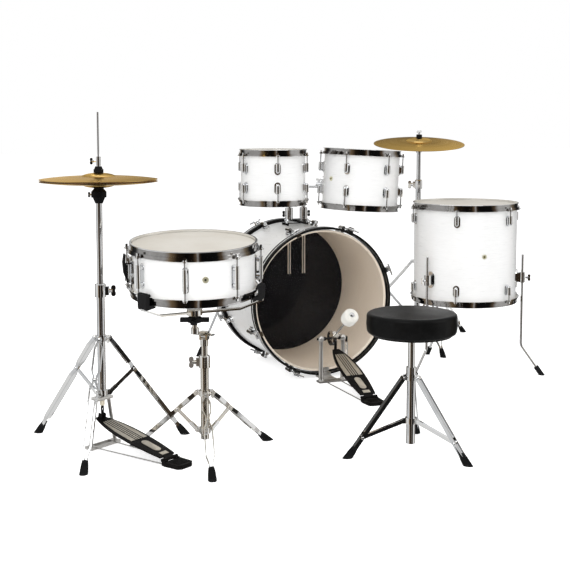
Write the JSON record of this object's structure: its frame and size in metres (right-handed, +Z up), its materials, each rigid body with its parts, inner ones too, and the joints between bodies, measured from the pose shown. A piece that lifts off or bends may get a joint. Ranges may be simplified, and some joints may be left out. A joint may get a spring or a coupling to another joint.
{
  "type": "acoustic drum kit",
  "caption": "Acoustic drum kit: clear-headed bass drum with pedal, toms on a holder, floor tom, snare and cymbals on braced stands, round stool; white shells, chrome fittings.",
  "frame": {"origin": "middle of the kick pedal's base plate on the floor", "axes": "+Y along the bass drum from the player's side to the front, +Z up, +X to the player's right"},
  "size_m": [2.1975, 1.8956, 1.03],
  "materials": {
    "wrap": "gloss white wrap over a wooden shell",
    "clear_head": "clear film",
    "black_head": "gloss black film",
    "black_wood": "black lacquer with a pale inlay line",
    "coated_head": "coated film",
    "chrome": "polished chrome, rubber where it meets the floor",
    "bronze": "lathed cymbal metal",
    "vinyl": "black vinyl",
    "felt": "white felt",
    "black_metal": "satin black with bare raised pads"
  },
  "bodies": {
    "root": {"bass_shell": "wrap", "bass_batter_head": "clear_head", "bass_front_head": "black_head", "bass_hoops": "black_wood", "bass_lugs": "chrome", "bass_claws": "chrome", "tom_holder": "chrome", "floor_tom_shell": "wrap", "floor_tom_heads": "coated_head", "floor_tom_hoops": "chrome", "floor_tom_lugs": "chrome", "snare_tripod": "chrome", "hihat_tripod": "chrome", "hihat_pedal_frame": "chrome", "kick_frame": "chrome", "kick_spring": "chrome", "crash_tripod": "chrome", "stool_base": "chrome"},
    "spur_left": {"spur_left": "chrome"},
    "spur_right": {"spur_right": "chrome"},
    "small_tom": {"small_tom_shell": "wrap", "small_tom_heads": "coated_head", "small_tom_hoops": "chrome", "small_tom_lugs": "chrome"},
    "middle_tom": {"middle_tom_shell": "wrap", "middle_tom_heads": "coated_head", "middle_tom_hoops": "chrome", "middle_tom_lugs": "chrome"},
    "floor_leg_left": {"floor_leg_left": "chrome"},
    "floor_leg_right": {"floor_leg_right": "chrome"},
    "floor_leg_back": {"floor_leg_back": "chrome"},
    "snare_mast": {"snare_mast": "chrome"},
    "snare_drum": {"snare_basket": "chrome", "snare_shell": "wrap", "snare_heads": "coated_head", "snare_hoops": "chrome", "snare_lugs": "chrome", "snare_strainer": "chrome", "snare_wires": "chrome"},
    "strainer_lever": {"strainer_lever": "black_metal"},
    "hihat_tube": {"hihat_tube": "chrome", "hihat_bottom_cymbal": "bronze"},
    "hihat_rod": {"hihat_rod": "chrome", "hihat_top_cymbal": "bronze"},
    "hihat_footboard": {"hihat_footboard": "black_metal"},
    "kick_axle": {"kick_axle": "chrome", "kick_beater": "felt"},
    "kick_footboard": {"kick_footboard": "black_metal"},
    "crash_mast": {"crash_mast": "chrome"},
    "crash_tilter": {"crash_tilter": "chrome"},
    "crash_cymbal": {"crash_cymbal": "bronze"},
    "stool_post": {"stool_post": "chrome"},
    "stool_seat": {"stool_seat": "vinyl"},
    "stool_collar": {"stool_collar": "chrome"},
    "stool_leg_left": {"stool_leg_left": "chrome"},
    "stool_strut_left": {"stool_strut_left": "chrome"},
    "stool_leg_right": {"stool_leg_right": "chrome"},
    "stool_strut_right": {"stool_strut_right": "chrome"},
    "stool_leg_back": {"stool_leg_back": "chrome"},
    "stool_strut_back": {"stool_strut_back": "chrome"}
  },
  "joints": [
    {"name": "spur_left_fold", "type": "hinge", "parent": "root", "child": "spur_left", "pos_m": [-0.30253, 0.435, 0.25848], "axis": [0.9903, 0, 0.1392], "range_deg": [0, 60]},
    {"name": "spur_right_fold", "type": "hinge", "parent": "root", "child": "spur_right", "pos_m": [0.30253, 0.435, 0.25848], "axis": [0.9903, 0, -0.1392], "range_deg": [0, 60]},
    {"name": "small_tom_tilt", "type": "hinge", "parent": "root", "child": "small_tom", "pos_m": [-0.032, 0.36, 0.735], "axis": [-0.7523, 0.6589, 0], "range_deg": [-8, 12]},
    {"name": "middle_tom_tilt", "type": "hinge", "parent": "root", "child": "middle_tom", "pos_m": [0.032, 0.36, 0.735], "axis": [-0.5804, -0.8143, 0], "range_deg": [-8, 12]},
    {"name": "floor_leg_left_slide", "type": "slide", "parent": "root", "child": "floor_leg_left", "axis": [0, 0, 1], "range_m": [0, 0.1]},
    {"name": "floor_leg_right_slide", "type": "slide", "parent": "root", "child": "floor_leg_right", "axis": [0, 0, 1], "range_m": [0, 0.1]},
    {"name": "floor_leg_back_slide", "type": "slide", "parent": "root", "child": "floor_leg_back", "axis": [0, 0, 1], "range_m": [0, 0.1]},
    {"name": "snare_height", "type": "slide", "parent": "root", "child": "snare_mast", "axis": [0, 0, 1], "range_m": [-0.025, 0.06]},
    {"name": "snare_tilt", "type": "hinge", "parent": "snare_mast", "child": "snare_drum", "pos_m": [-0.74, -0.704, 0.368], "axis": [-0.7831, 0.6219, 0], "range_deg": [-10, 10]},
    {"name": "strainer_throw", "type": "hinge", "parent": "snare_drum", "child": "strainer_lever", "pos_m": [-0.98376, -0.76376, 0.55544], "axis": [-0.0687, -0.9948, -0.0746], "range_deg": [0, 100]},
    {"name": "hihat_height", "type": "slide", "parent": "root", "child": "hihat_tube", "axis": [0, 0, 1], "range_m": [-0.1, 0]},
    {"name": "hihat_press", "type": "hinge", "parent": "root", "child": "hihat_footboard", "pos_m": [-0.86303, -0.74564, 0.016], "axis": [-0.866, -0.5, 0], "range_deg": [-6, 0.9], "stiffness_Nm_per_rad": 120, "springref_deg": -5.73},
    {"name": "hihat_rod_slide", "type": "slide", "parent": "root", "child": "hihat_rod", "axis": [0, 0, -1], "range_m": [-0.031, 0.005]},
    {"name": "kick_press", "type": "hinge", "parent": "root", "child": "kick_footboard", "pos_m": [0, -0.32206, 0.016], "axis": [-1, 0, 0], "range_deg": [0, 6.95], "stiffness_Nm_per_rad": 60, "springref_deg": -5.73},
    {"name": "kick_swing", "type": "hinge", "parent": "root", "child": "kick_axle", "pos_m": [0, 0, 0.17], "axis": [-1, 0, 0], "range_deg": [0, 75], "deforming": ["kick_spring"]},
    {"name": "crash_height", "type": "slide", "parent": "root", "child": "crash_mast", "axis": [0, 0, 1], "range_m": [-0.1, 0.12]},
    {"name": "crash_tilt", "type": "hinge", "parent": "crash_mast", "child": "crash_tilter", "pos_m": [0.678, 0.554, 0.896], "axis": [0.9272, -0.3746, 0], "range_deg": [-30, 20]},
    {"name": "crash_spin", "type": "hinge", "parent": "crash_tilter", "child": "crash_cymbal", "pos_m": [0.678, 0.554, 0.896], "axis": [-0.0521, -0.129, 0.9903], "continuous": true},
    {"name": "stool_height", "type": "slide", "parent": "root", "child": "stool_post", "axis": [0, 0, 1], "range_m": [-0.06, 0.08]},
    {"name": "stool_swivel", "type": "hinge", "parent": "stool_post", "child": "stool_seat", "pos_m": [-0.151, -0.91, 0.36], "axis": [0, 0, 1], "continuous": true},
    {"name": "stool_fold", "type": "slide", "parent": "root", "child": "stool_collar", "axis": [0, 0, 1], "range_m": [0, 0.0544]},
    {"name": "stool_leg_left_fold", "type": "hinge", "parent": "root", "child": "stool_leg_left", "pos_m": [-0.17644, -0.90822, 0.232], "axis": [-0.0698, -0.9976, 0], "range_deg": [0, 38.03]},
    {"name": "stool_strut_left_fold", "type": "hinge", "parent": "stool_collar", "child": "stool_strut_left", "pos_m": [-0.17644, -0.90822, 0.098], "axis": [-0.0698, -0.9976, 0], "range_deg": [0, 73.8]},
    {"name": "stool_leg_right_fold", "type": "hinge", "parent": "root", "child": "stool_leg_right", "pos_m": [-0.13982, -0.93292, 0.232], "axis": [0.8988, 0.4384, 0], "range_deg": [0, 38.03]},
    {"name": "stool_strut_right_fold", "type": "hinge", "parent": "stool_collar", "child": "stool_strut_right", "pos_m": [-0.13982, -0.93292, 0.098], "axis": [0.8988, 0.4384, 0], "range_deg": [0, 73.8]},
    {"name": "stool_leg_back_fold", "type": "hinge", "parent": "root", "child": "stool_leg_back", "pos_m": [-0.13674, -0.88886, 0.232], "axis": [-0.829, 0.5592, 0], "range_deg": [0, 38.03]},
    {"name": "stool_strut_back_fold", "type": "hinge", "parent": "stool_collar", "child": "stool_strut_back", "pos_m": [-0.13674, -0.88886, 0.098], "axis": [-0.829, 0.5592, 0], "range_deg": [0, 73.8]}
  ],
  "couplings": [
    {"joint": "hihat_rod_slide", "follows": "hihat_press", "m_per_rad": 0.286},
    {"joint": "kick_swing", "follows": "kick_press", "ratio": 10.7},
    {"joint": "stool_leg_left_fold", "follows": "stool_fold", "rad_per_m": 12.105},
    {"joint": "stool_strut_left_fold", "follows": "stool_fold", "rad_per_m": 23.581},
    {"joint": "stool_leg_right_fold", "follows": "stool_fold", "rad_per_m": 12.105},
    {"joint": "stool_strut_right_fold", "follows": "stool_fold", "rad_per_m": 23.581},
    {"joint": "stool_leg_back_fold", "follows": "stool_fold", "rad_per_m": 12.105},
    {"joint": "stool_strut_back_fold", "follows": "stool_fold", "rad_per_m": 23.581}
  ]
}
